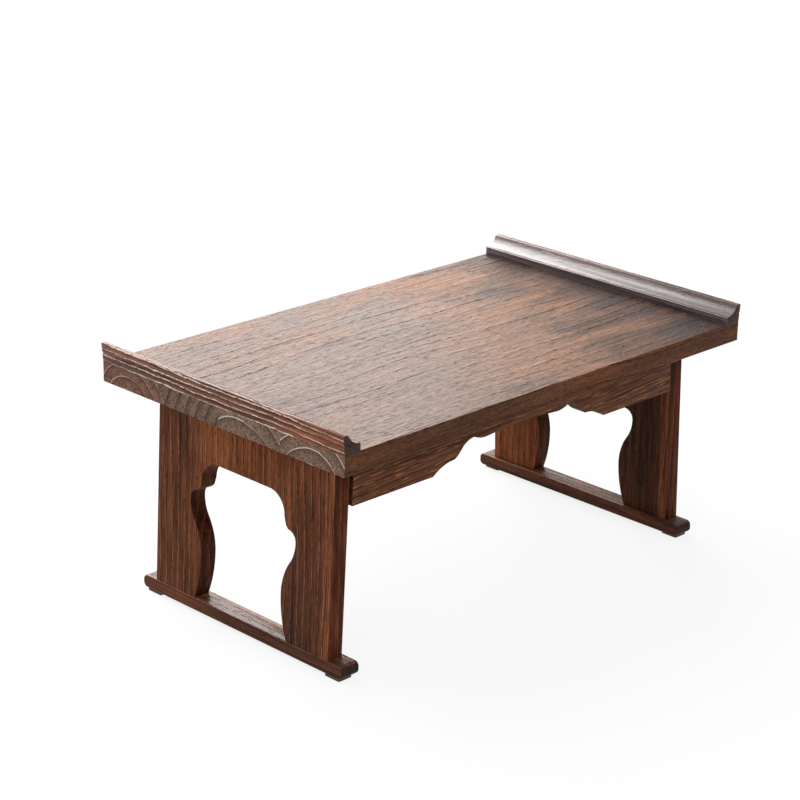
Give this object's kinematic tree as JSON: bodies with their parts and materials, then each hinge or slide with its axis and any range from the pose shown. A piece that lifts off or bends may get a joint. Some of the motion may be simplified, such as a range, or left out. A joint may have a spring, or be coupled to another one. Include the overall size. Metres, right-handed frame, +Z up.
{
  "type": "folding tea table",
  "caption": "Low wooden tea table with raised end mouldings, scalloped aprons and shaped panel legs on foot bars; the legs fold inwards under the top.",
  "frame": {"origin": "on the floor under the middle of the table", "axes": "+X along the length to the right end, +Y from front to back, +Z up"},
  "size_m": [0.5, 0.3, 0.23],
  "materials": {
    "top_wood": "satin",
    "moulding_wood": "satin",
    "apron_wood": "satin",
    "leg_wood": "satin",
    "bar_wood": "satin",
    "frame_wood": "matte",
    "dowel_wood": "matte",
    "hinge_steel": "satin",
    "pad_rubber": "matte"
  },
  "bodies": {
    "table_top": {"top_plank_1": "top_wood", "top_plank_2": "top_wood", "top_plank_3": "top_wood", "top_plank_4": "top_wood", "left_end_moulding": "moulding_wood", "left_moulding_dowels": "dowel_wood", "right_end_moulding": "moulding_wood", "right_moulding_dowels": "dowel_wood", "front_apron": "apron_wood", "front_glue_blocks": "frame_wood", "back_apron": "apron_wood", "back_glue_blocks": "frame_wood", "left_hinge_rail": "frame_wood", "left_rail_dowels": "dowel_wood", "left_corner_dowels": "dowel_wood", "left_rail_hinge_screws": "hinge_steel", "left_front_hinge_rail_leaf": "hinge_steel", "left_front_hinge_pin": "hinge_steel", "left_back_hinge_rail_leaf": "hinge_steel", "left_back_hinge_pin": "hinge_steel", "right_hinge_rail": "frame_wood", "right_rail_dowels": "dowel_wood", "right_corner_dowels": "dowel_wood", "right_rail_hinge_screws": "hinge_steel", "right_front_hinge_rail_leaf": "hinge_steel", "right_front_hinge_pin": "hinge_steel", "right_back_hinge_rail_leaf": "hinge_steel", "right_back_hinge_pin": "hinge_steel"},
    "left_leg": {"left_leg_panel": "leg_wood", "left_foot_bar": "bar_wood", "left_foot_dowels": "dowel_wood", "left_front_foot_pad": "pad_rubber", "left_back_foot_pad": "pad_rubber", "left_front_hinge_leg_leaf": "hinge_steel", "left_back_hinge_leg_leaf": "hinge_steel", "left_leg_hinge_screws": "hinge_steel"},
    "right_leg": {"right_leg_panel": "leg_wood", "right_foot_bar": "bar_wood", "right_foot_dowels": "dowel_wood", "right_front_foot_pad": "pad_rubber", "right_back_foot_pad": "pad_rubber", "right_front_hinge_leg_leaf": "hinge_steel", "right_back_hinge_leg_leaf": "hinge_steel", "right_leg_hinge_screws": "hinge_steel"}
  },
  "joints": [
    {"name": "left_leg_fold", "type": "hinge", "parent": "table_top", "child": "left_leg", "pos_m": [-0.20232, 0, 0.1475], "axis": [0, -1, 0], "range_deg": [0, 92.4]},
    {"name": "right_leg_fold", "type": "hinge", "parent": "table_top", "child": "right_leg", "pos_m": [0.20232, 0, 0.1475], "axis": [0, 1, 0], "range_deg": [0, 92.4]}
  ]
}
